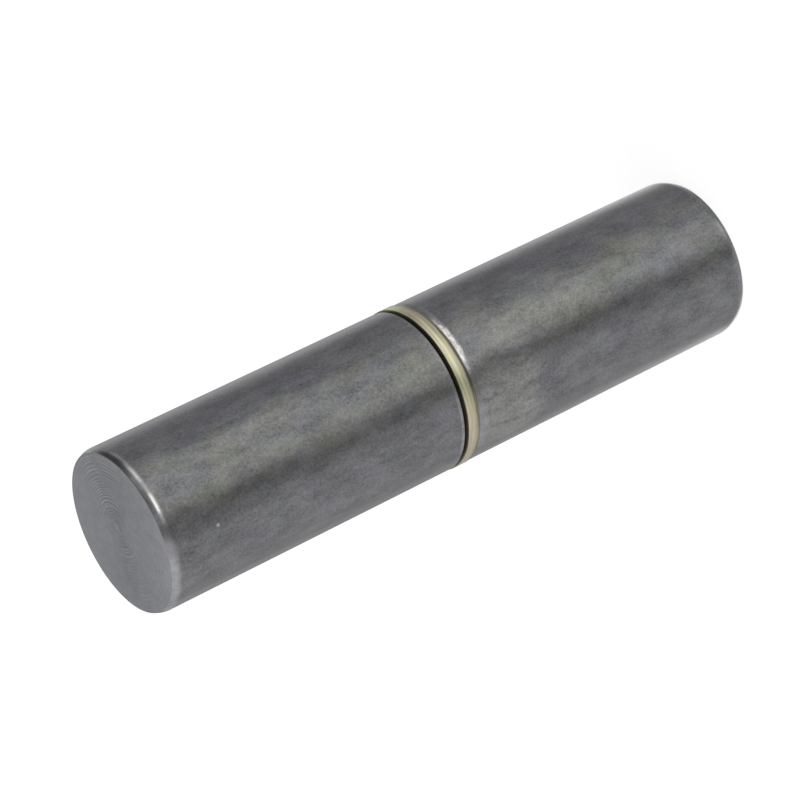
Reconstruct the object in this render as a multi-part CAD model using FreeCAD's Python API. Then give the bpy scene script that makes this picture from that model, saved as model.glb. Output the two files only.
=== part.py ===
import FreeCAD, Part
import math
import os

# Weld-on barrel hinge that lifts off: two turned steel barrels, a pin pressed into the lower one,
# and a brass washer that carries the upper one. Millimetres, +Z up the pin's axis, origin at the
# centre of the lower barrel's outer end.

# Barrels
BARREL_DIAMETER = 24.0
LOWER_BARREL_LENGTH = 49.0
UPPER_BARREL_LENGTH = 49.0
# The shallow cone turned on both outer ends, and the round where it runs out onto the barrel
END_CHAMFER_LENGTH = 1.1
END_CHAMFER_DEPTH = 0.4
END_CHAMFER_ROUND = 2.0
# The shallower cone on the lower barrel's inner end, beside the washer
INNER_CHAMFER_LENGTH = 1.05
INNER_CHAMFER_DEPTH = 0.22
# The upper barrel's inner edge is only broken, so its end covers the washer
EDGE_BREAK = 0.15
# Solid steel left between each drill point and the barrel's outer end
LOWER_END_WALL = 15.0
UPPER_END_WALL = 15.0
DRILL_POINT_ANGLE = 118.0
MOUTH_CHAMFER = 0.8

# Pin
PIN_DIAMETER = 14.0
# The long lead on the free end finds the upper bore when the hinge is hung
PIN_LEAD_LENGTH = 2.0
PIN_LEAD_DEPTH = 1.2
PIN_FOOT_CHAMFER = 0.5

# Washer
WASHER_THICKNESS = 2.0
WASHER_OVERHANG = 0.1
WASHER_EDGE_RADIUS = 0.12

# Clearances, radial round the pin and axial past its end
RUNNING_CLEARANCE = 0.05
WASHER_CLEARANCE = 0.2
PIN_END_ROOM = 1.5
# The upper barrel stands this far off the washer, as a hinge that carries no weight does
END_FLOAT = 0.55

# Radii that follow from the sizes above
BARREL_RADIUS = BARREL_DIAMETER / 2
PIN_RADIUS = PIN_DIAMETER / 2
UPPER_BORE_RADIUS = PIN_RADIUS + RUNNING_CLEARANCE
WASHER_BORE_RADIUS = PIN_RADIUS + WASHER_CLEARANCE
WASHER_RADIUS = BARREL_RADIUS + WASHER_OVERHANG

# Levels along the pin's axis
WASHER_SEAT = LOWER_BARREL_LENGTH
WASHER_TOP = WASHER_SEAT + WASHER_THICKNESS
UPPER_MOUTH = WASHER_TOP + END_FLOAT
HINGE_TOP = UPPER_MOUTH + UPPER_BARREL_LENGTH

CENTRE = FreeCAD.Vector(0, 0, 0)
PIN_AXIS = FreeCAD.Vector(0, 0, 1)
FULL_TURN = 360.0


def drill_point(radius):
    """Height of the cone that a drill of this radius leaves at the bottom of a blind bore."""
    return radius / math.tan(math.radians(DRILL_POINT_ANGLE / 2))


# The straight part of each bore, from the barrel's inner face to the drill point
LOWER_BORE_DEPTH = LOWER_BARREL_LENGTH - LOWER_END_WALL - drill_point(PIN_RADIUS)
UPPER_BORE_DEPTH = UPPER_BARREL_LENGTH - UPPER_END_WALL - drill_point(UPPER_BORE_RADIUS)
PIN_FOOT = WASHER_SEAT - LOWER_BORE_DEPTH
PIN_TIP = WASHER_TOP + UPPER_BORE_DEPTH - PIN_END_ROOM


def corner(radius, height):
    """A point of a half section, which lies in the XZ plane."""
    return FreeCAD.Vector(radius, 0, height)


def turned(section_edges):
    """A solid of revolution about the pin's axis from the edges of its half section."""
    section = Part.Face(Part.Wire(section_edges))
    return section.revolve(CENTRE, PIN_AXIS, FULL_TURN)


def straight_edges(corners):
    """The closed outline through the corners, as straight edges."""
    return Part.makePolygon(corners + corners[:1]).Edges


def barrel(face_rim, chamfer_rim, wall_end, inner_corners):
    """A barrel from the corners of its half section: the rim of its outer face, the rim of the
    chamfer there, the other end of its wall, and the rest in turn. An arc tangent to the chamfer
    and the wall rounds the chamfer's rim."""
    to_face = (face_rim - chamfer_rim).normalize()
    to_wall = (wall_end - chamfer_rim).normalize()
    half_angle = to_face.getAngle(to_wall) / 2
    inward = (to_face + to_wall).normalize()
    arc_centre = chamfer_rim + inward * (END_CHAMFER_ROUND / math.sin(half_angle))
    reach = END_CHAMFER_ROUND / math.tan(half_angle)
    arc_start = chamfer_rim + to_face * reach
    arc_middle = arc_centre - inward * END_CHAMFER_ROUND
    arc_end = chamfer_rim + to_wall * reach
    arc = Part.Arc(arc_start, arc_middle, arc_end).toShape()
    straight = Part.makePolygon([arc_end, wall_end] + inner_corners + [face_rim, arc_start])
    return turned([arc] + straight.Edges)


def lower_barrel():
    """The standing half: chamfered at both ends, bored from the top for the pressed-in pin."""
    return barrel(
        corner(BARREL_RADIUS - END_CHAMFER_DEPTH, 0),
        corner(BARREL_RADIUS, END_CHAMFER_LENGTH),
        corner(BARREL_RADIUS, WASHER_SEAT - INNER_CHAMFER_LENGTH),
        [
            corner(BARREL_RADIUS - INNER_CHAMFER_DEPTH, WASHER_SEAT),
            corner(PIN_RADIUS + MOUTH_CHAMFER, WASHER_SEAT),
            corner(PIN_RADIUS, WASHER_SEAT - MOUTH_CHAMFER),
            corner(PIN_RADIUS, PIN_FOOT),
            corner(0, LOWER_END_WALL),
            corner(0, 0),
        ],
    )


def hinge_pin():
    """The pin: seated on the shoulder of the lower bore, with a tapered lead on its free end."""
    return turned(straight_edges([
        corner(0, PIN_FOOT),
        corner(PIN_RADIUS - PIN_FOOT_CHAMFER, PIN_FOOT),
        corner(PIN_RADIUS, PIN_FOOT + PIN_FOOT_CHAMFER),
        corner(PIN_RADIUS, PIN_TIP - PIN_LEAD_LENGTH),
        corner(PIN_RADIUS - PIN_LEAD_DEPTH, PIN_TIP),
        corner(0, PIN_TIP),
    ]))


def thrust_washer():
    """The brass washer: flat faces, loose on the pin, with its rim's two edges rounded."""
    ring = turned(straight_edges([
        corner(WASHER_BORE_RADIUS, WASHER_SEAT),
        corner(WASHER_RADIUS, WASHER_SEAT),
        corner(WASHER_RADIUS, WASHER_TOP),
        corner(WASHER_BORE_RADIUS, WASHER_TOP),
    ]))
    rim_edges = [edge for edge in ring.Edges
                 if isinstance(edge.Curve, Part.Circle) and edge.Curve.Radius > WASHER_BORE_RADIUS]
    return ring.makeFillet(WASHER_EDGE_RADIUS, rim_edges)


def upper_barrel():
    """The hanging half: a blind bore that runs on the pin, closed by a solid end with a chamfer."""
    return barrel(
        corner(BARREL_RADIUS - END_CHAMFER_DEPTH, HINGE_TOP),
        corner(BARREL_RADIUS, HINGE_TOP - END_CHAMFER_LENGTH),
        corner(BARREL_RADIUS, UPPER_MOUTH + EDGE_BREAK),
        [
            corner(BARREL_RADIUS - EDGE_BREAK, UPPER_MOUTH),
            corner(UPPER_BORE_RADIUS + MOUTH_CHAMFER, UPPER_MOUTH),
            corner(UPPER_BORE_RADIUS, UPPER_MOUTH + MOUTH_CHAMFER),
            corner(UPPER_BORE_RADIUS, UPPER_MOUTH + UPPER_BORE_DEPTH),
            corner(0, HINGE_TOP - UPPER_END_WALL),
            corner(0, HINGE_TOP),
        ],
    )


PIECES = {
    "lower_barrel": lower_barrel,
    "hinge_pin": hinge_pin,
    "thrust_washer": thrust_washer,
    "upper_barrel": upper_barrel,
}

os.makedirs("parts", exist_ok=True)
for name, make_piece in PIECES.items():
    piece = make_piece()
    piece.exportStep(f"parts/{name}.step")
    box = piece.BoundBox
    print(f"{name}: {piece.Volume:.1f} mm3, z {box.ZMin:.3f} to {box.ZMax:.3f}, valid {piece.isValid()}")
print(f"pin length {PIN_TIP - PIN_FOOT:.2f} mm, hinge height {HINGE_TOP:.2f} mm")
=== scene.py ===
"""Dresses a weld-on barrel hinge: two turned steel barrels, a ground pin and a brass thrust washer.

Metres, +Z up the pin, the origin at the centre of the lower barrel's outer end. Azimuth is the
angle round the pin from the camera's side, -Y, towards +X.
"""

import bpy
import numpy as np
from bpy.props import FloatProperty, FloatVectorProperty, IntProperty, PointerProperty
from mathutils import Matrix, Vector


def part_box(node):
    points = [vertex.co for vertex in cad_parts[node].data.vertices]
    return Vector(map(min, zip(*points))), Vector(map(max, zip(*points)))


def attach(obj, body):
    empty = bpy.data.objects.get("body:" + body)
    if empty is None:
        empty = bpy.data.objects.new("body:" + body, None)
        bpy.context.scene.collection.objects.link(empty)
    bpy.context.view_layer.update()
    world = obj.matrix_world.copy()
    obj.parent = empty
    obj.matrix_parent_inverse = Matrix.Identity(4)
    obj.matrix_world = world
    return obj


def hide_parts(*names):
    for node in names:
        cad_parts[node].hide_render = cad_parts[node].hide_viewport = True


bl_info = {
    "name": "Weld-on barrel hinge",
    "version": (1, 0, 0),
    "blender": (4, 5, 0),
    "location": "View3D > Sidebar > Hinge",
    "description": "Builds the turned pieces of a lift-off barrel hinge with their finishes",
    "category": "Object",
}

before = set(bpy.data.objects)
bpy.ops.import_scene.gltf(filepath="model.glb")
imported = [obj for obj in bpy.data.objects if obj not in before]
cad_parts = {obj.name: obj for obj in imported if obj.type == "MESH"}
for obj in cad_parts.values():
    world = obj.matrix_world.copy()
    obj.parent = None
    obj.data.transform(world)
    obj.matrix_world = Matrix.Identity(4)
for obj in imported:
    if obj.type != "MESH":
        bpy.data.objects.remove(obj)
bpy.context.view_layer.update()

MM = 0.001
MM_PER_METRE = 1000.0
FULL_TURN = 2 * np.pi


def node_span(node):
    """The radius, lowest height and highest height of a turned node."""
    low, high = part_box(node)
    return (high.x - low.x) / 2, low.z, high.z


BARREL_RADIUS, LOWER_FOOT, LOWER_TOP = node_span("lower_barrel")
_, UPPER_MOUTH, UPPER_TOP = node_span("upper_barrel")
WASHER_RADIUS, WASHER_SEAT, WASHER_TOP = node_span("thrust_washer")
PIN_RADIUS, PIN_FOOT, PIN_TIP = node_span("hinge_pin")
# Along the lower barrel, beside the washer
INNER_CHAMFER_LENGTH = 1.05 * MM


def length(name, description, default):
    """A length that a user may change, in metres."""
    return FloatProperty(name=name, description=description, default=default, min=0, unit="LENGTH",
                         precision=5)


def colour(name, description, default):
    """A linear colour that a user may change."""
    return FloatVectorProperty(name=name, description=description, default=default, size=3, min=0,
                               max=1, subtype="COLOR")


class HINGE_PG_barrels(bpy.types.PropertyGroup):
    """Sizes of the two barrels."""

    radius: length("Radius", "Outside of both barrels", BARREL_RADIUS)
    end_chamfer_length: length("End chamfer length", "Along the barrel, both outer ends", 0.9 * MM)
    end_chamfer_depth: length("End chamfer depth", "Taken off the radius at the outer face", 0.36 * MM)
    end_chamfer_round: length("End chamfer round", "Where the chamfer runs out onto the wall", 2.6 * MM)
    inner_chamfer_length: length("Inner chamfer length", "Lower barrel, beside the washer",
                                 INNER_CHAMFER_LENGTH)
    inner_chamfer_depth: length("Inner chamfer depth", "Lower barrel, beside the washer", 0.22 * MM)
    inner_chamfer_crown: length("Inner chamfer crown", "Radius across the inner chamfer", 3.5 * MM)
    edge_break: length("Edge break", "Upper barrel, beside the washer", 0.15 * MM)
    edge_break_crown: length("Edge break crown", "Radius across the edge break", 0.15 * MM)
    mouth_chamfer: length("Mouth chamfer", "At the mouth of both bores", 0.8 * MM)
    lower_bore_radius: length("Lower bore radius", "Line to line with the pin", PIN_RADIUS)
    upper_bore_radius: length("Upper bore radius", "Runs on the pin", PIN_RADIUS + 0.05 * MM)
    lower_bore_end: length("Lower bore end", "Height where the straight bore ends", PIN_FOOT)
    end_wall: length("End wall", "Solid steel past the drill point", 15 * MM)
    drill_angle: FloatProperty(name="Drill point angle", description="Of the bottom of both bores",
                               default=np.radians(118), subtype="ANGLE")


class HINGE_PG_turning(bpy.types.PropertyGroup):
    """The tool marks on the outer faces."""

    ring_pitch: length("Ring pitch", "Mean distance between two tool marks", 0.48 * MM)
    ring_depth: length("Ring depth", "Deepest tool mark", 0.01 * MM)
    ring_offset_x: FloatProperty(name="Ring offset X", description="Middle of the rings from the axis",
                                 default=1.05 * MM, unit="LENGTH", precision=5)
    ring_offset_y: FloatProperty(name="Ring offset Y", description="Middle of the rings from the axis",
                                 default=0.53 * MM, unit="LENGTH", precision=5)
    seed: IntProperty(name="Seed", description="Of the uneven pitch and depth", default=7, min=0)


class HINGE_PG_washer(bpy.types.PropertyGroup):
    """Sizes of the thrust washer."""

    bore_radius: length("Bore radius", "Loose on the pin", PIN_RADIUS + 0.2 * MM)
    foot_radius: length("Foot radius", "Round on the rim's lower edge", 0.12 * MM)
    top_radius: length("Top radius", "Round on the rim's upper edge", 0.05 * MM)


class HINGE_PG_pin(bpy.types.PropertyGroup):
    """Sizes of the pin."""

    lead_length: length("Lead length", "Taper on the free end", 2 * MM)
    lead_depth: length("Lead depth", "Taken off the radius at the tip", 1.2 * MM)
    foot_chamfer: length("Foot chamfer", "On the seated end", 0.5 * MM)


class HINGE_PG_finish(bpy.types.PropertyGroup):
    """Colours of the metals."""

    steel: colour("Steel", "Oiled dark steel of the barrels", (0.1435, 0.144, 0.155))
    # The olive film lies on the lit side of the barrels and the blue one on the shaded side, so that
    # besides oil films they are a painted warm light and a painted cool shade.
    olive: colour("Olive film", "Thin oil film in patches on the steel", (0.162, 0.1675, 0.146))
    blue: colour("Blue film", "Thicker film, higher up than the olive one", (0.138, 0.1395, 0.159))
    # Pale streaks: along the bright band they are streaks in the oil film, beside the washer they are
    # painted highlight.
    pale_streaks: colour("Wiped steel", "Pale streaks along the barrels", (0.205, 0.207, 0.2))
    faced: colour("Faced steel", "Turned end faces", (0.233, 0.237, 0.254))
    # Also laid as painted light beside the inner chamfer, on the wall past the upper chamfer and along
    # the upper barrel's edge at the mouth.
    cut: colour("Cut steel", "Chamfers", (0.235, 0.235, 0.245))
    # Bright steel, laid where an edge faces the light as a painted highlight; it also colours one real
    # pale speck.
    bare_and_highlight: colour("Bare steel", "Edges rubbed bright", (0.5, 0.49, 0.475))
    # Dirt and painted shade: this colour darkens the joint under the washer, the faces in the gap above
    # it and the outer chamfers' feet on one side, where shade falls.
    grime_and_shade: colour("Grime", "Oil and dirt in the joint under the washer", (0.03, 0.028, 0.022))
    ground: colour("Ground steel", "The pin", (0.5, 0.5, 0.5))
    brass: colour("Brass", "The thrust washer", (0.45, 0.425, 0.3))
    brass_pink: colour("Pink brass", "Tint in streaks on the washer", (0.43, 0.38, 0.29))
    brass_green: colour("Green brass", "Tint in streaks on the washer", (0.41, 0.422, 0.262))


class HINGE_PG_stage(bpy.types.PropertyGroup):
    """Camera and floor."""

    focal_length: FloatProperty(name="Focal length", description="On a sensor 36 mm wide",
                                default=162, min=1, subtype="DISTANCE_CAMERA")
    face_distance: length("Face distance", "From the camera to the near face, along its view", 0.478)
    axis_tilt: FloatProperty(name="Axis tilt", description="Of the pin away from the picture plane",
                             default=np.radians(28.76), subtype="ANGLE")
    axis_lean: FloatProperty(name="Axis lean", description="Of the pin in the picture, from level",
                             default=np.radians(25.94), subtype="ANGLE")
    floor_size: length("Floor size", "Side of the floor", 8)


# Where the photograph, 800 pixels square, shows the centre of the near face
PICTURE_SIDE = 800
FACE_PIXEL = np.array([121.27, 533.22])
SENSOR_WIDTH = 36.0

# Points round the pin in every mesh, and steps across every rounded corner
AROUND = 256
CORNER_STEPS = 6
# The round of a corner that is left sharp, and how near a round the first point beside it stands
SHARP = 0.04 * MM
SUPPORT = 0.02 * MM
# Distance between the rings of a mesh, on the run after each corner of its profile
BARREL_SPACINGS = MM * np.array([0.06, 0.1, 1, 0.2, 0.2, 0.5, 0.3, 2, 2])
PIN_SPACINGS = MM * np.array([1, 0.3, 1, 0.5, 1])
WASHER_SPACINGS = MM * np.array([0.3, 0.1, 0.3, 0.3])

# Which corners of a barrel's profile these are, counted from the middle of the outer face
FACE_RIM, CHAMFER_RIM, WALL_END, INNER_RIM, MOUTH_RIM = 1, 2, 3, 5, 6
# How deep the middle corner of the cut on a barrel's inner edge lies, as a share of the cut's depth
CROWN_SHARE = 1 / 6
# How much narrower a tool mark is than its pitch, and the spread of the marks' pitches and depths
MARK_SHARPNESS = 3
PITCH_SPREAD = (0.65, 1.4)
DEPTH_SPREAD = (0.35, 1)
# Where the painted highlight lies on the outer chamfer's rim: above 1 moves it to the wall's side
RIM_HIGHLIGHT_LEAN = 0.8
# How bright the outer chamfer is cut, and how strong the highlight painted on its rim is, on the
# upper barrel and on the lower one
UPPER_SHINE = 1.0
LOWER_SHINE = 0.2
# Rounds of the pin's lead, where it meets the pin and at the tip
LEAD_ROUND = 2 * MM
TIP_ROUND = 4 * SHARP


# Profiles, as arrays of (radius, height)


def rounded_corner(before, at, after, radius, steps):
    """The arc that rounds a corner, from the side of the corner before to that of the corner after.
    Its centre lies on the bisector, radius / sin(half the corner's angle) away. A point at t from 0
    to 1 is centre + (sin((1 - t) w) a + sin(t w) b) / sin w, where a and b are the first and last
    spokes and w is the angle between them."""
    to_before = (before - at) / np.linalg.norm(before - at)
    to_after = (after - at) / np.linalg.norm(after - at)
    half_angle = np.arccos(np.clip(to_before @ to_after, -1, 1)) / 2
    bisector = (to_before + to_after) / np.linalg.norm(to_before + to_after)
    centre = at + bisector * radius / np.sin(half_angle)
    first = at + to_before * radius / np.tan(half_angle) - centre
    last = at + to_after * radius / np.tan(half_angle) - centre
    turn = np.pi - 2 * half_angle
    t = np.linspace(0, 1, steps + 1)[:, None]
    return centre + (np.sin((1 - t) * turn) * first + np.sin(t * turn) * last) / np.sin(turn)


def straight_run(start, end, spacing):
    """Points inside a run, evenly spaced, with one close to each end to hold the rounds apart."""
    span = np.linalg.norm(end - start)
    steps = max(int(np.ceil(span / spacing)), 1)
    t = np.concatenate([[SUPPORT / span], np.arange(1, steps) / steps, [1 - SUPPORT / span]])
    return start + t[:, None] * (end - start)


def outline(corners, radii, spacings, closed=False):
    """A profile through the corners, each rounded to its radius, 0 for none, with the run after
    each corner divided at its spacing. A second array gives each point's place: i at corner i,
    i + 0.5 on the run after it."""
    corners = np.array(corners, float)
    count = len(corners)
    rounds = []
    for i, radius in enumerate(radii):
        if radius:
            rounds.append(rounded_corner(corners[i - 1], corners[i], corners[(i + 1) % count],
                                         radius, CORNER_STEPS))
        else:
            rounds.append(corners[i:i + 1])
    points = []
    places = []
    for i in range(count):
        points.append(rounds[i])
        places.append(np.full(len(rounds[i]), float(i)))
        if closed or i < count - 1:
            run = straight_run(rounds[i][-1], rounds[(i + 1) % count][0], spacings[i])
            points.append(run)
            places.append(np.full(len(run), i + 0.5))
    return np.concatenate(points), np.concatenate(places)


# Surfaces


def turned_surface(name, profile, centres=0.0, closed=False, attributes=None):
    """A mesh of revolution: the point at profile point i and angle a is
    (cx_i + r_i cos a, cy_i + r_i sin a, z_i). A profile that starts and ends on the axis closes in
    two poles, and a closed one closes on itself. Faces point outwards when the profile runs with
    the metal on its left as seen with the radius to the right and the height up."""
    angle = np.arange(AROUND) * FULL_TURN / AROUND
    radius = profile[:, 0, None]
    centres = np.broadcast_to(centres, (len(profile), 2))
    grid = np.stack([
        centres[:, 0, None] + radius * np.cos(angle),
        centres[:, 1, None] + radius * np.sin(angle),
        np.broadcast_to(profile[:, 1, None], (len(profile), AROUND)),
    ], axis=-1)
    if closed:
        rings = grid
        row = np.arange(len(rings))
        next_row = np.roll(row, -1)
    else:
        rings = grid[1:-1]
        row = np.arange(len(rings) - 1)
        next_row = row + 1
    column = np.arange(AROUND)
    next_column = np.roll(column, -1)
    quads = np.stack([
        row[:, None] * AROUND + column,
        row[:, None] * AROUND + next_column,
        next_row[:, None] * AROUND + next_column,
        next_row[:, None] * AROUND + column,
    ], axis=-1).reshape(-1, 4)
    points = rings.reshape(-1, 3)
    faces = quads.tolist()
    owners = np.repeat(np.arange(len(rings)), AROUND) + (0 if closed else 1)
    if not closed:
        first, last = len(points), len(points) + 1
        points = np.concatenate([points, grid[0, :1], grid[-1, :1]])
        bottom = (len(rings) - 1) * AROUND
        fans = [np.stack([np.full(AROUND, first), next_column, column], axis=-1),
                np.stack([np.full(AROUND, last), bottom + column, bottom + next_column], axis=-1)]
        faces += np.concatenate(fans).tolist()
        owners = np.concatenate([owners, [0, len(profile) - 1]])
    mesh = bpy.data.meshes.new(name)
    mesh.from_pydata(points.tolist(), [], faces)
    for label, values in (attributes or {}).items():
        layer = mesh.attributes.new(label, "FLOAT", "POINT")
        layer.data.foreach_set("value", np.asarray(values, np.float32)[owners])
    mesh.polygons.foreach_set("use_smooth", np.ones(len(mesh.polygons), bool))
    mesh.update()
    piece = bpy.data.objects.new(name, mesh)
    bpy.context.scene.collection.objects.link(piece)
    return piece


def tool_marks(turning, radius):
    """Depth of the tool marks at each radius, up to 1. The marks are an uneven pitch apart, and
    across each the depth is a raised cosine to a power that makes it narrower than its pitch."""
    random = np.random.default_rng(turning.seed)
    count = int(np.ceil(2 * BARREL_RADIUS / turning.ring_pitch))
    marks = np.cumsum(turning.ring_pitch * random.uniform(*PITCH_SPREAD, count))
    strength = random.uniform(*DEPTH_SPREAD, count)
    place = np.interp(radius, marks, np.arange(count), left=0)
    depth = np.interp(radius, marks, strength)
    return depth * ((1 + np.cos(FULL_TURN * place)) / 2) ** MARK_SHARPNESS


def make_barrel(name, sizes, turning, outer, mouth, bore_radius, bore_end, inner_cut, shine):
    """A barrel whose outer face is at height outer and whose inner face is at height mouth.

    inner_cut is the length, depth and crown of the cut on its inner edge, and shine is how bright
    its outer chamfer is and how strong the highlight painted on its rim is. The profile runs from
    the middle of the outer face over the rim, along the wall, over the mouth and down the bore. The
    rings of the outer face are circles round a middle off the axis, and come back to the axis
    towards the rim along a smooth step.
    """
    inward = np.sign(mouth - outer)
    radius = sizes.radius
    face_radius = radius - sizes.end_chamfer_depth
    cut_length, cut_depth, cut_crown = inner_cut
    bore_tip = bore_end - inward * bore_radius / np.tan(sizes.drill_angle / 2)
    corners = [
        (0, outer),
        (face_radius, outer),
        (radius, outer + inward * sizes.end_chamfer_length),
        (radius, mouth - inward * cut_length),
        (radius - cut_depth * CROWN_SHARE, mouth - inward * cut_length / 2),
        (radius - cut_depth, mouth),
        (bore_radius + sizes.mouth_chamfer, mouth),
        (bore_radius, mouth - inward * sizes.mouth_chamfer),
        (bore_radius, bore_end),
        (0, bore_tip),
    ]
    radii = [0, SHARP, sizes.end_chamfer_round, 0, cut_crown, SHARP, SHARP, SHARP, SHARP, 0]
    profile, places = outline(corners, radii, BARREL_SPACINGS)
    on_face = places < FACE_RIM
    on_chamfer = (places > FACE_RIM) & (places < CHAMFER_RIM)
    on_rim = places == CHAMFER_RIM
    on_inner_face = (places >= INNER_RIM) & (places < MOUTH_RIM)
    on_inner_cut = (places > WALL_END) & (places < INNER_RIM)

    marks = np.where(on_face, tool_marks(turning, profile[:, 0]), 0)
    profile[:, 1] += inward * turning.ring_depth * marks
    shift = np.clip(1 - profile[:, 0] / face_radius, 0, 1) * on_face
    eased = shift * shift * (3 - 2 * shift)
    centres = eased[:, None] * np.array([turning.ring_offset_x, turning.ring_offset_y])

    cut = np.where((places == FACE_RIM) | on_chamfer, shine, 0.0)
    along_rim = np.linspace(0, 1, on_rim.sum())
    cut[on_rim] = shine * (1 - along_rim ** 2)
    # A painted highlight along the rim of the outer chamfer
    bare_and_highlight = np.zeros(len(profile))
    bare_and_highlight[on_rim] = shine * np.sin(np.pi * along_rim ** RIM_HIGHLIGHT_LEAN) ** 2
    foot = np.where(places == FACE_RIM, 1.0, 0.0)
    foot[on_chamfer] = np.linspace(1, -1, on_chamfer.sum()).clip(0)
    attributes = {
        "marks": marks,
        "faced": on_face | on_inner_face,
        "cut": cut,
        "inner": on_inner_cut,
        "bare_and_highlight": bare_and_highlight,
        "foot": foot,
    }
    order = slice(None) if inward > 0 else slice(None, None, -1)
    ordered = {label: values[order] for label, values in attributes.items()}
    return turned_surface(name, profile[order], centres[order], attributes=ordered)


# Shader graphs


class Value:
    """An output in a shader graph. Arithmetic on it adds Math nodes and gives another Value."""

    def __init__(self, graph, socket):
        self.graph = graph
        self.socket = socket

    def __add__(self, other):
        return self.graph.math("ADD", self, other)

    def __radd__(self, other):
        return self.graph.math("ADD", other, self)

    def __sub__(self, other):
        return self.graph.math("SUBTRACT", self, other)

    def __rsub__(self, other):
        return self.graph.math("SUBTRACT", other, self)

    def __mul__(self, other):
        return self.graph.math("MULTIPLY", self, other)

    def __rmul__(self, other):
        return self.graph.math("MULTIPLY", other, self)

    def __truediv__(self, other):
        return self.graph.math("DIVIDE", self, other)

    def __rtruediv__(self, other):
        return self.graph.math("DIVIDE", other, self)

    def __pow__(self, other):
        return self.graph.math("POWER", self, other)


class Graph:
    """A shader graph, built by expressions on Values and by node()."""

    def __init__(self, tree):
        self.tree = tree
        tree.nodes.clear()

    def node(self, kind, settings=None, inputs=None, output=0):
        """Adds a node, sets its settings, then values or links of its sockets, and gives an output,
        or nothing where the node has none."""
        made = self.tree.nodes.new(kind)
        for name, value in (settings or {}).items():
            setattr(made, name, value)
        for key, value in (inputs or {}).items():
            if isinstance(value, Value):
                self.tree.links.new(value.socket, made.inputs[key])
            else:
                made.inputs[key].default_value = value
        return Value(self, made.outputs[output]) if made.outputs else None

    def math(self, operation, *operands):
        """A Math node."""
        return self.node("ShaderNodeMath", {"operation": operation}, dict(enumerate(operands)))

    def mix(self, factor, first, second, blend="MIX"):
        """A colour between two colours."""
        mixed = {0: factor, 6: first, 7: second}
        return self.node("ShaderNodeMix", {"data_type": "RGBA", "blend_type": blend}, mixed, 2)

    def smooth(self, value, low, high, start=0.0, end=1.0):
        """A smooth step from start to end as the value goes from low to high."""
        limits = {0: value, 1: low, 2: high, 3: start, 4: end}
        return self.node("ShaderNodeMapRange", {"interpolation_type": "SMOOTHSTEP"}, limits)

    def coat(self, base, colour, factor):
        """A colour property laid over a base, as thick as the factor says."""
        return self.mix(factor, base, rgba(colour))

    def shaded(self, base, shade):
        """A colour times a number."""
        grey = self.node("ShaderNodeCombineColor", inputs={0: shade, 1: shade, 2: shade})
        return self.mix(1.0, base, grey, "MULTIPLY")

    def noise(self, place, scale, detail=2.0, roughness=0.5):
        """Fractal noise at x, y and z, about 0.5 on the mean."""
        vector = self.node("ShaderNodeCombineXYZ", inputs=dict(enumerate(place)))
        inputs = {"Vector": vector, "Scale": scale, "Detail": detail, "Roughness": roughness}
        return self.node("ShaderNodeTexNoise", {}, inputs)

    def attribute(self, label):
        """A number stored on the piece's own mesh."""
        return self.node("ShaderNodeAttribute", {"attribute_name": label}, output="Fac")

    def place(self):
        """The x, y and z of Object coordinates, in millimetres."""
        metres = self.node("ShaderNodeTexCoord", output="Object")
        scale = {0: metres, "Scale": MM_PER_METRE}
        return self.parts(self.node("ShaderNodeVectorMath", {"operation": "SCALE"}, scale))

    def parts(self, vector):
        """The x, y and z of a vector."""
        return tuple(self.node("ShaderNodeSeparateXYZ", inputs={0: vector}, output=i)
                     for i in range(3))


def rgba(linear):
    """A colour property as the four numbers of a colour socket."""
    return (*linear, 1.0)


def metal(name):
    """A material with an empty graph."""
    material = bpy.data.materials.new(name)
    material.use_nodes = True
    return material, Graph(material.node_tree)


def finish_metal(graph, base, roughness, height, depth):
    """Ends a metal's graph: base colour, roughness and a bump of the given depth in metres."""
    normal = graph.node("ShaderNodeBump", {}, {"Strength": 1.0, "Distance": depth, "Height": height})
    shader = graph.node("ShaderNodeBsdfPrincipled", {}, {
        "Base Color": base,
        "Metallic": 1.0,
        "Roughness": roughness,
        "Normal": normal,
    })
    graph.node("ShaderNodeOutputMaterial", {}, {"Surface": shader})


# Keeps the division below from failing on the pin's axis
AXIS_GUARD = 1e-6


def facing(x, y, side):
    """1 on a side of the hinge, falling smoothly to 0. The side is the azimuth of its middle, its
    half width and the width of its soft edge, in degrees, and is compared by cosines."""
    azimuth, half_width, softness = np.radians(side)
    distance = (x * x + y * y + AXIS_GUARD) ** 0.5
    cosine = (x * np.sin(azimuth) - y * np.cos(azimuth)) / distance
    whole = max(half_width - softness / 2, 0)
    return x.graph.smooth(cosine, np.cos(half_width + softness / 2), np.cos(whole))


# Wear, finish, and light and shade painted into the colours. A side is an azimuth, a half width and the
# width of its soft edge, in degrees.
# Heights, radii and places are in millimetres, and strengths are shares of 1.

# The noises of the barrels' steel: the shift in x and y that brings it where it shows, how fast it
# changes along the barrel against across it, its scale, its detail and its roughness
STEEL_NOISES = {
    "patches": ((40, 0), 0.5, 0.3, 4, 0.6),
    "streaks": ((0, 0), 0.4, 0.62, 5, 0.62),
    "cloud": ((0, -25), 0.7, 0.17, 3, 0.55),
    "grain": ((0, 0), 0.8, 3.2, 3, 0.8),
    "ragged": ((0, 0), 0.5, 1.1, 3, 0.6),
    "scores": ((0, 0), 2.4, 1.2, 3, 0.6),
}
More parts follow.
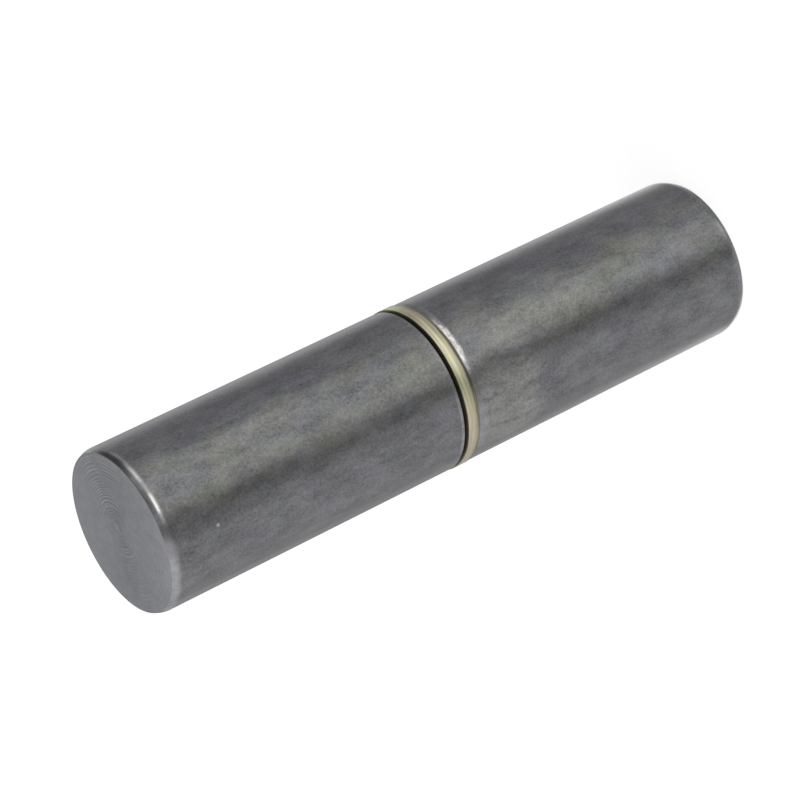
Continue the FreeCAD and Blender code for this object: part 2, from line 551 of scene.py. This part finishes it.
# Sides where the barrels' steel differs: olive and blue place oil films, on the lit side and on
# the shaded one, and all the others place light or shade painted into the colour
STEEL_SIDES = {
    "olive": (12, 10, 50),
    "blue": (58, 20, 50),
    "end_painted_light": (-52, 30, 30),
    "end_painted_shade": (20, 16, 14),
    "inner_highlight": (18, 20, 10),
    "inner_highlight_most": (18, 6, 24),
    "inner_light_upper": (44, 10, 16),
    "inner_light_lower": (-46, 16, 16),
    "edge_highlight": (-38, 22, 20),
    "joint_shaded": (0, 22, 26),
    "rings": (100, 42, 66),
    "rings_across": (-115, 35, 50),
    "sheen_fan": (-30, 45, 80),
    "sheen_fan_across": (150, 45, 80),
    "face_edge_sheen": (-32, 22, 30),
}
# Pale streaks on the barrels: azimuth, half width, height of the middle and half length in
# millimetres, strength. The two along the bright band are streaks in the oil film; the two beside
# the washer are painted highlight.
PALE_STREAKS = (
    (25, 3, 81, 11, 0.6),
    (14, 6, 34, 9, 0.3),
    (-36, 24, 43.5, 6, 1.0),
    (-47, 14, 46, 5, 1.3),
)
# Where a highlight is painted on the rim of the outer chamfer: side, strength
RIM_HIGHLIGHTS = (
    ((8, 5, 8), 1.0),
    ((31, 4, 8), 0.45),
    ((47, 8, 12), 0.32),
)
# A pale speck on the upper barrel: azimuth, height and radius in millimetres
SPECK = (-22.4, 92.5, 0.34)
# Height of the middle of the highlight painted round the washer's rim, above its seat
HIGHLIGHT_MIDDLE = 1.28
# Sides where the washer's brass differs
BRASS_SIDES = {
    "pink_upper": (49, 5, 10),
    "pink_lower": (-50, 22, 20),
    "green_middle": (-14, 5, 18),
    "green_upper": (74, 12, 18),
    "foot_shaded": (8, 24, 16),
    "middle_highlight": (15, 22, 30),
}


def drawn_noise(graph, place, shift, along, scale, detail, roughness):
    """A noise that is drawn out along the pin, or pressed together where along is above 1."""
    x, y, z = place
    return graph.noise((x + shift[0], y + shift[1], z * along), scale, detail, roughness)


def oil_films(graph, colours, place, side, noise):
    """Dark steel under an olive film and a blue one, each in patches on its own side, the olive one on
    the lit side as a painted warm light and the blue one on the shaded side as a painted cool shade,
    with pale streaks that are partly painted highlight."""
    x, y, z = place
    patches = noise["patches"]
    # Oil films, the blue one on the shaded side as painted cool shade and the olive one on the lit side
    # as painted warm light
    blue = graph.smooth(patches, 0.66, 0.34) * (side["blue"] * 0.8)
    olive = graph.smooth(patches, 0.3, 0.66) * graph.smooth(side["olive"], 0, 1, 0.15, 0.85)
    base = graph.coat(rgba(colours.steel), colours.blue, blue)
    base = graph.coat(base, colours.olive, olive)
    # Pale streaks, those beside the washer a painted highlight
    pale_streaks = 0
    for azimuth, half_width, height, half_length, strength in PALE_STREAKS:
        across = facing(x, y, (azimuth, half_width, half_width * 2))
        away = ((z - height) / half_length) ** 2
        pale_streaks = pale_streaks + across * graph.smooth(away, 1.6, 0.1) * strength
    broken = graph.smooth(patches + noise["streaks"], 0.75, 1.1, 0.15, 1)
    return graph.coat(base, colours.pale_streaks, pale_streaks * broken)


def end_finish_and_light(graph, colours, base, place, side, part, noise):
    """Over the base, the faced ends and the cut outer chamfers, a highlight painted on the chamfers'
    rims, painted light on the wall past the upper chamfer on one side, and painted shade at the
    chamfers' feet on another side."""
    _, _, z = place
    from_top = z - UPPER_TOP * MM_PER_METRE
    base = graph.coat(base, colours.faced, part["faced"])
    broken = graph.smooth(noise["ragged"], 0.38, 0.55, 0.6, 1)
    base = graph.coat(base, colours.cut, part["cut"] * broken)
    # Painted light on the wall just past the upper barrel's outer chamfer, on one side
    run_out_light = graph.smooth(from_top, -1.75, -0.95) * (1 - part["faced"]) * (1 - part["cut"])
    base = graph.coat(base, colours.cut, run_out_light * side["end_painted_light"] * 0.35)
    # A highlight painted on the outer chamfers' rims
    base = graph.coat(base, colours.bare_and_highlight, part["bare_and_highlight"])
    # Painted shade at the foot of the outer chamfers, on one side
    return graph.coat(base, colours.grime_and_shade, part["foot"] * side["end_painted_shade"] * 0.35)


def joint_light_and_shade(graph, colours, base, place, side, part, noise):
    """Over the base, at the washer: the lower barrel's inner chamfer, with painted light on two sides
    and a painted highlight, painted light on the wall under the washer, a painted highlight along the
    upper barrel's edge at the mouth, painted shade on its mouth face, and painted shade in the joint
    under the washer."""
    x, y, z = place
    inner, ragged = part["inner"], noise["ragged"]
    from_seat = z - WASHER_SEAT * MM_PER_METRE
    under_washer = graph.smooth(from_seat, 0.3, 0.2)
    # Painted light on the wall just under the washer, on one side
    beside = graph.smooth(from_seat + ragged, -1.3, -0.3) * under_washer * (1 - inner)
    base = graph.coat(base, colours.cut, beside * side["inner_light_lower"] * 0.6)
    # The inner chamfer's cut steel, with painted light added on two sides
    cut = inner * (0.25 + 0.45 * side["inner_light_upper"] + side["inner_light_lower"])
    base = graph.coat(base, colours.cut, cut)
    # A ragged, streaky highlight painted on the inner chamfer
    reach = from_seat / (INNER_CHAMFER_LENGTH * MM_PER_METRE) + 1
    reach = reach + 1.2 * (ragged - 0.5) + 0.5 * side["inner_highlight_most"]
    scores = graph.smooth(noise["scores"], 0.36, 0.6, 0.35, 1)
    inner_highlight = inner * side["inner_highlight"] * graph.smooth(reach, 0.35, 0.7)
    base = graph.coat(base, colours.bare_and_highlight, inner_highlight * scores * 0.85)
    # A highlight painted along the upper barrel's edge at the mouth, strongest on one side
    from_mouth = z - UPPER_MOUTH * MM_PER_METRE
    edge_highlight = graph.smooth(from_mouth, 0.75, 0.5) * graph.smooth(from_mouth, 0.11, 0.21)
    base = graph.coat(base, colours.cut, edge_highlight * (0.25 + 0.75 * side["edge_highlight"]))
    # Painted shade on the upper barrel's mouth face and the edge just above it, in the gap
    mouth_shade = graph.smooth(from_mouth, 0.19, 0.07) * graph.smooth(from_mouth, -0.25, -0.15)
    base = graph.coat(base, colours.grime_and_shade, mouth_shade * 0.75)
    # Painted shade in the joint under the washer, less where painted light lies beside it
    radius = (x * x + y * y) ** 0.5
    joint = graph.smooth(from_seat, -0.28, -0.12) * under_washer * graph.smooth(radius, 10, 11)
    joint = joint * (0.33 + 0.42 * side["joint_shaded"] - 0.25 * side["inner_light_lower"])
    return graph.coat(base, colours.grime_and_shade, joint)


def with_speck(graph, colours, base, place):
    """Over the base, one pale speck on the wall."""
    x, y, z = place
    azimuth, height, reach = SPECK
    wall = BARREL_RADIUS * MM_PER_METRE
    sideways = x - wall * np.sin(np.radians(azimuth))
    away = sideways ** 2 + (y + wall * np.cos(np.radians(azimuth))) ** 2 + (z - height) ** 2
    return graph.coat(base, colours.bare_and_highlight, graph.smooth(away, reach ** 2, 0.1 * reach ** 2) * 0.7)


def painted_face_sheen(graph, place, side, part):
    """How much lighter a faced end is than its colour, most of it painted light: its tool marks, broken
    into arcs and stronger on the sides where they catch the light, the two fans of light on a turned
    face, a lighter edge on one side, and a slow change across the face that is lighter outwards."""
    x, y, _ = place
    radius = (x * x + y * y) ** 0.5
    arcs = graph.noise((x / (radius + 3), y / (radius + 3), 0), 2.5, 2)
    rings = (part["marks"] - 0.2) * graph.smooth(arcs, 0.4, 0.6, 0.2, 1)
    # The tool marks' contrast, stronger on the sides where they catch the light: painted light
    across = side["rings_across"] * graph.smooth(radius, 6, 3)
    rings = rings * (0.3 + 0.66 * side["rings"] + 0.24 * across)
    # Two fans of painted sheen, a painted light edge, and a painted change across the face, lighter
    # outwards
    fans = side["sheen_fan"] + side["sheen_fan_across"]
    edge = side["face_edge_sheen"] * graph.smooth(radius, 8.5, 11.5)
    painted_slope = 0.004 * (-0.6 * x - 0.8 * y) + 0.017 * radius - 0.07
    return rings + 0.17 * fans + 0.15 * edge + painted_slope


def barrel_steel(colours):
    """Dark oiled steel with a grain drawn out along the barrel, faced ends, cut chamfers, wear, and
    light and shade painted into the colour at the ends and at the washer. The shade is 1 and what the
    grain, the streaks, the clouding and the tool marks add to it, with less of the first three where
    the steel was cut, and with painted light and shade on the chamfers and the faced ends."""
    material, graph = metal("barrel_steel")
    place = graph.place()
    x, y, _ = place
    side = {label: facing(x, y, where) for label, where in STEEL_SIDES.items()}
    labels = ("faced", "cut", "inner", "bare_and_highlight", "foot", "marks")
    part = {label: graph.attribute(label) for label in labels}
    # The rims' painted highlight, only on the sides that face the light
    rubbed = 0
    for where, strength in RIM_HIGHLIGHTS:
        rubbed = rubbed + facing(x, y, where) * strength
    part["bare_and_highlight"] = part["bare_and_highlight"] * rubbed
    noise = {label: drawn_noise(graph, place, *settings) for label, settings in STEEL_NOISES.items()}

    base = oil_films(graph, colours, place, side, noise)
    base = end_finish_and_light(graph, colours, base, place, side, part, noise)
    base = joint_light_and_shade(graph, colours, base, place, side, part, noise)
    base = with_speck(graph, colours, base, place)

    cut = part["cut"]
    streaks, cloud, grain = (noise[label] - 0.5 for label in ("streaks", "cloud", "grain"))
    worked = graph.math("MINIMUM", part["faced"] + cut + 0.5 * part["inner"], 1.0)
    shade = 1 + (1 - 0.6 * worked) * (1.05 * streaks + 0.5 * cloud)
    shade = shade + (1.55 - 0.95 * worked - 0.3 * cut) * grain
    # Painted light on the cut chamfers on one side and painted shade on another
    shade = shade * (1 + cut * (0.32 * side["end_painted_light"] - 0.3 * side["end_painted_shade"]))
    # Painted sheen and shade on the faced ends
    shade = shade * (1 + part["faced"] * painted_face_sheen(graph, place, side, part))
    roughness = 0.31 + (1 - worked) * (0.08 * cloud + 0.12 * streaks) - 0.06 * cut - 0.13 * part["bare_and_highlight"]
    height = grain * (1 - 0.7 * worked)
    finish_metal(graph, graph.shaded(base, shade), roughness, height, depth=0.003 * MM)
    return material


def ground_steel(colours):
    """Bright ground steel with fine marks round the pin."""
    material, graph = metal("ground_steel")
    x, y, z = graph.place()
    radius = (x * x + y * y) ** 0.5
    marks = graph.noise((x / (radius + 1), y / (radius + 1), z * 6), 1.0, 3)
    base = graph.shaded(rgba(colours.ground), 0.88 + 0.24 * marks)
    finish_metal(graph, base, 0.18 + 0.12 * marks, marks, depth=0.002 * MM)
    return material


def washer_brass(colours):
    """Turned brass with streaks round the rim, a highlight painted round the middle of the rim, pink
    and green tints, and painted shade along its foot, darker towards the seat, and on its upper
    face in the gap."""
    material, graph = metal("washer_brass")
    x, y, z = graph.place()
    side = {label: facing(x, y, where) for label, where in BRASS_SIDES.items()}
    radius = (x * x + y * y) ** 0.5
    cosine, sine = x / radius, y / radius
    from_seat = z - WASHER_SEAT * MM_PER_METRE
    from_rim = radius - WASHER_RADIUS * MM_PER_METRE
    streaks = graph.noise((cosine * 2.5, sine * 2.5, z * 3.6), 1.0, 4, 0.65) - 0.5
    blotches = graph.noise((cosine * 5, sine * 5, z * 0.9), 1.0, 2)
    pink = (side["pink_upper"] + side["pink_lower"]) * graph.smooth(blotches, 0.3, 0.55)
    green = (0.7 * side["green_middle"] + side["green_upper"]) * graph.smooth(blotches, 0.65, 0.4)
    base = graph.coat(rgba(colours.brass), colours.brass_pink, pink)
    base = graph.coat(base, colours.brass_green, green)
    # Painted shade along the washer's foot, in the joint with the lower barrel, strongest on one side
    joint = graph.smooth(from_seat + 0.2 * blotches, 0.74, 0.36)
    base = graph.coat(base, colours.grime_and_shade, joint * (0.6 + 0.25 * side["foot_shaded"]))
    # Painted shade on the washer's upper face near the rim, in the gap under the upper barrel
    on_top = graph.smooth(from_seat, 1.96, 1.99)
    base = graph.coat(base, colours.grime_and_shade, on_top * graph.smooth(from_rim, -0.15, -0.3) * 0.5)
    # A highlight painted round the middle of the rim on one side, and painted shade towards the seat
    from_middle = graph.math("ABSOLUTE", from_seat - HIGHLIGHT_MIDDLE)
    middle_highlight = graph.smooth(from_middle, 0.3, 0.05) * (0.05 + 0.2 * side["middle_highlight"])
    seat_shade = graph.smooth(from_seat, 1.1, 0.9) * 0.12
    base = graph.shaded(base, 1 + 1.25 * streaks + middle_highlight - seat_shade)
    finish_metal(graph, base, 0.36 + 0.16 * streaks + 0.3 * on_top, streaks, depth=0.006 * MM)
    return material


def dress(piece, material, body, node):
    """Gives a piece its material, puts it on its body, and hides the node that it stands for."""
    piece.data.materials.append(material)
    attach(piece, body)
    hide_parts(node)


# Stage

# Light of the room without its panels
ROOM_LIGHT = 0.64
# Soft panels round the hinge: the side, the lowest and highest elevation and the width of their soft
# edge in degrees, and the light added to the room's
ALL_HEIGHTS = (-180, 180, 1)
PANELS = {
    "broad side": ((-82, 34, 50), ALL_HEIGHTS, 0.44),
    "broad side, below": ((-36, 14, 16), (-180, -30, 4), 0.34),
    "key": ((22, 23, 9), (-180, 4, 10), 0.72),
    "top of the key": ((54, 10, 9), (-30, 180, 3), 0.62),
    "after the key": ((78, 14, 16), (-180, -22, 8), 0.1),
    "beyond that": ((122, 8, 14), (-180, -12, 8), -0.08),
    "beyond that, below": ((134, 16, 16), (-180, -29, 4), -0.12),
    "gap beside the key": ((-19, 6, 8), ALL_HEIGHTS, -0.36),
    "edge of the gap": ((-33, 6, 10), (-30, -10, 4), -0.22),
    "near the camera": ((4, 14, 10), (-26.5, -12, 3), -0.12),
    "below the camera": ((4, 14, 14), (-180, -31, 4), 0.12),
    "back": ((148, 16, 16), ALL_HEIGHTS, 0.24),
    "back, below": ((150, 14, 16), (-180, -26, 3), 0.12),
    "back, at the side": ((-150, 10, 12), (-26, -12, 3), 0.14),
    "side, below": ((-134, 14, 20), (-180, -30, 3), -0.12),
    "behind, above": ((180, 20, 16), (-29, -8, 4), -0.39),
    "behind, below": ((-175, 32, 24), (-180, -33.4, 3), 1.2),
    "behind, between": ((170, 10, 14), (-33, -28, 3), -0.25),
    "strip": ((34, 43, 10), (-11, 6, 8), 1.3),
    "dark wall": ((100, 42, 16), (-6, 180, 8), -0.52),
}
# The floor: how far it lies under the hinge, how much it scatters, and how much it glows to the
# camera, which together come out white
FLOOR_DROP = 0.05 * MM
FLOOR_COLOUR = (0.3, 0.3, 0.3)
FLOOR_GLOW = 0.86


def panel_mask(direction, side, rise):
    """1 on a panel, falling smoothly to 0 over its soft edges. Its foot and its top compare the sine
    of the elevation."""
    x, y, z = direction
    mask = facing(x, y, side)
    low, high, softness = np.radians(rise)
    if low > -np.pi / 2:
        mask = mask * z.graph.smooth(z, np.sin(low - softness / 2), np.sin(low + softness / 2))
    if high < np.pi / 2:
        mask = mask * z.graph.smooth(z, np.sin(high + softness / 2), np.sin(high - softness / 2))
    return mask


def make_world():
    """The room: white to the camera, and soft panels to the metal."""
    world = bpy.data.worlds.new("room")
    world.use_nodes = True
    bpy.context.scene.world = world
    graph = Graph(world.node_tree)
    direction = graph.parts(graph.node("ShaderNodeTexCoord", output="Generated"))
    light = ROOM_LIGHT
    for side, rise, strength in PANELS.values():
        light = light + strength * panel_mask(direction, side, rise)
    camera_ray = graph.node("ShaderNodeLightPath", output="Is Camera Ray")
    strength = light + camera_ray * (1 - light)
    shader = graph.node("ShaderNodeBackground", {}, {"Color": (1, 1, 1, 1), "Strength": strength})
    graph.node("ShaderNodeOutputWorld", {}, {"Surface": shader})


def make_floor(size):
    """A flat pale floor just under the hinge. Only the camera sees it."""
    side = size / 2
    u, v = np.meshgrid([-side, side], [-side, side])
    points = np.stack([u, v, np.full_like(u, -FLOOR_DROP)], axis=-1).reshape(-1, 3)
    mesh = bpy.data.meshes.new("floor")
    mesh.from_pydata(points.tolist(), [], [[0, 1, 3, 2]])
    floor = bpy.data.objects.new("floor", mesh)
    bpy.context.scene.collection.objects.link(floor)
    floor.visible_glossy = False
    floor.visible_diffuse = False
    floor.visible_shadow = False
    material, graph = metal("pale_floor")
    camera_ray = graph.node("ShaderNodeLightPath", output="Is Camera Ray")
    matt = graph.node("ShaderNodeBsdfDiffuse", {}, {"Color": rgba(FLOOR_COLOUR)})
    glow = graph.node("ShaderNodeEmission", {}, {"Strength": camera_ray * FLOOR_GLOW})
    both = graph.node("ShaderNodeAddShader", {}, {0: matt, 1: glow})
    graph.node("ShaderNodeOutputMaterial", {}, {"Surface": both})
    mesh.materials.append(material)


def make_camera(stage):
    """The photograph's view. The pin's axis, its near end and its tilt and lean are known in the
    camera's frame, x right, y down and z forward, and are turned into the hinge's frame."""
    lean, tilt = stage.axis_lean, stage.axis_tilt
    axis = np.array([np.cos(lean) * np.cos(tilt), -np.sin(lean) * np.cos(tilt), np.sin(tilt)])
    pixels = stage.focal_length / SENSOR_WIDTH * PICTURE_SIDE
    off_centre = (FACE_PIXEL - PICTURE_SIDE / 2) / pixels
    face = stage.face_distance * np.array([off_centre[0], off_centre[1], 1])
    up = -axis
    across = face - (face @ axis) * axis
    forward = across / np.linalg.norm(across)
    side = np.cross(forward, up)
    hinge_axes = np.stack([side, forward, up])
    place = np.array([0, 0, UPPER_TOP]) - hinge_axes @ face
    right, down, back = hinge_axes.T
    turn = Matrix(np.stack([right, -down, -back], axis=1).tolist())
    camera_data = bpy.data.cameras.new("camera")
    camera_data.lens = stage.focal_length
    camera_data.sensor_width = SENSOR_WIDTH
    camera_data.clip_start = 0.01
    camera_data.clip_end = 50
    camera = bpy.data.objects.new("camera", camera_data)
    bpy.context.scene.collection.objects.link(camera)
    camera.matrix_world = Matrix.Translation(Vector(place.tolist())) @ turn.to_4x4()
    bpy.context.scene.camera = camera


# Operators


class HINGE_OT_barrels(bpy.types.Operator):
    """Builds both barrels and their steel"""

    bl_idname = "hinge.barrels"
    bl_label = "Build the barrels"

    def execute(self, context):
        sizes = context.scene.hinge_barrels
        turning = context.scene.hinge_turning
        steel = barrel_steel(context.scene.hinge_finish)
        point = sizes.upper_bore_radius / np.tan(sizes.drill_angle / 2)
        upper = make_barrel("upper_barrel_turned", sizes, turning, UPPER_TOP, UPPER_MOUTH,
                            sizes.upper_bore_radius, UPPER_TOP - sizes.end_wall - point,
                            (sizes.edge_break, sizes.edge_break, sizes.edge_break_crown),
                            UPPER_SHINE)
        dress(upper, steel, "upper_half", "upper_barrel")
        lower = make_barrel("lower_barrel_turned", sizes, turning, LOWER_FOOT, LOWER_TOP,
                            sizes.lower_bore_radius, sizes.lower_bore_end,
                            (sizes.inner_chamfer_length, sizes.inner_chamfer_depth,
                             sizes.inner_chamfer_crown),
                            LOWER_SHINE)
        dress(lower, steel, "lower_half", "lower_barrel")
        return {"FINISHED"}


class HINGE_OT_pin(bpy.types.Operator):
    """Builds the pin"""

    bl_idname = "hinge.pin"
    bl_label = "Build the pin"

    def execute(self, context):
        sizes = context.scene.hinge_pin
        corners = [
            (0, PIN_FOOT),
            (PIN_RADIUS - sizes.foot_chamfer, PIN_FOOT),
            (PIN_RADIUS, PIN_FOOT + sizes.foot_chamfer),
            (PIN_RADIUS, PIN_TIP - sizes.lead_length),
            (PIN_RADIUS - sizes.lead_depth, PIN_TIP),
            (0, PIN_TIP),
        ]
        radii = [0, SHARP, SHARP, LEAD_ROUND, TIP_ROUND, 0]
        profile, _ = outline(corners, radii, PIN_SPACINGS)
        pin = turned_surface("hinge_pin_ground", profile)
        dress(pin, ground_steel(context.scene.hinge_finish), "lower_half", "hinge_pin")
        return {"FINISHED"}


class HINGE_OT_washer(bpy.types.Operator):
    """Builds the thrust washer"""

    bl_idname = "hinge.washer"
    bl_label = "Build the thrust washer"

    def execute(self, context):
        sizes = context.scene.hinge_washer
        corners = [
            (sizes.bore_radius, WASHER_SEAT),
            (WASHER_RADIUS, WASHER_SEAT),
            (WASHER_RADIUS, WASHER_TOP),
            (sizes.bore_radius, WASHER_TOP),
        ]
        radii = [SHARP, sizes.foot_radius, sizes.top_radius, SHARP]
        profile, _ = outline(corners, radii, WASHER_SPACINGS, closed=True)
        washer = turned_surface("thrust_washer_turned", profile, closed=True)
        dress(washer, washer_brass(context.scene.hinge_finish), "washer", "thrust_washer")
        return {"FINISHED"}


class HINGE_OT_stage(bpy.types.Operator):
    """Builds the camera, the floor and the room's light"""

    bl_idname = "hinge.stage"
    bl_label = "Build the stage"

    def execute(self, context):
        stage = context.scene.hinge_stage
        make_camera(stage)
        make_floor(stage.floor_size)
        make_world()
        context.scene.view_settings.view_transform = "Standard"
        return {"FINISHED"}


class HINGE_PT_panel(bpy.types.Panel):
    """Sizes, colours and the operators, in the 3D view's sidebar."""

    bl_idname = "HINGE_PT_panel"
    bl_label = "Barrel hinge"
    bl_space_type = "VIEW_3D"
    bl_region_type = "UI"
    bl_category = "Hinge"

    def draw(self, context):
        for label, group in SCENE_GROUPS.items():
            column = self.layout.column(align=True)
            column.label(text=group.__doc__)
            for name in group.__annotations__:
                column.prop(getattr(context.scene, label), name)
        for operator in OPERATORS:
            self.layout.operator(operator.bl_idname)


SCENE_GROUPS = {
    "hinge_barrels": HINGE_PG_barrels,
    "hinge_turning": HINGE_PG_turning,
    "hinge_washer": HINGE_PG_washer,
    "hinge_pin": HINGE_PG_pin,
    "hinge_finish": HINGE_PG_finish,
    "hinge_stage": HINGE_PG_stage,
}
OPERATORS = (HINGE_OT_stage, HINGE_OT_barrels, HINGE_OT_pin, HINGE_OT_washer)


def register():
    """Adds the property groups, the operators and the panel."""
    for label, group in SCENE_GROUPS.items():
        bpy.utils.register_class(group)
        setattr(bpy.types.Scene, label, PointerProperty(type=group))
    for operator in OPERATORS:
        bpy.utils.register_class(operator)
    bpy.utils.register_class(HINGE_PT_panel)


def unregister():
    """Takes away what register added."""
    bpy.utils.unregister_class(HINGE_PT_panel)
    for operator in reversed(OPERATORS):
        bpy.utils.unregister_class(operator)
    for label, group in SCENE_GROUPS.items():
        delattr(bpy.types.Scene, label)
        bpy.utils.unregister_class(group)


def main():
    """Builds the stage and the pieces."""
    register()
    bpy.ops.hinge.stage()
    bpy.ops.hinge.barrels()
    bpy.ops.hinge.pin()
    bpy.ops.hinge.washer()


if __name__ == "__main__":
    main()
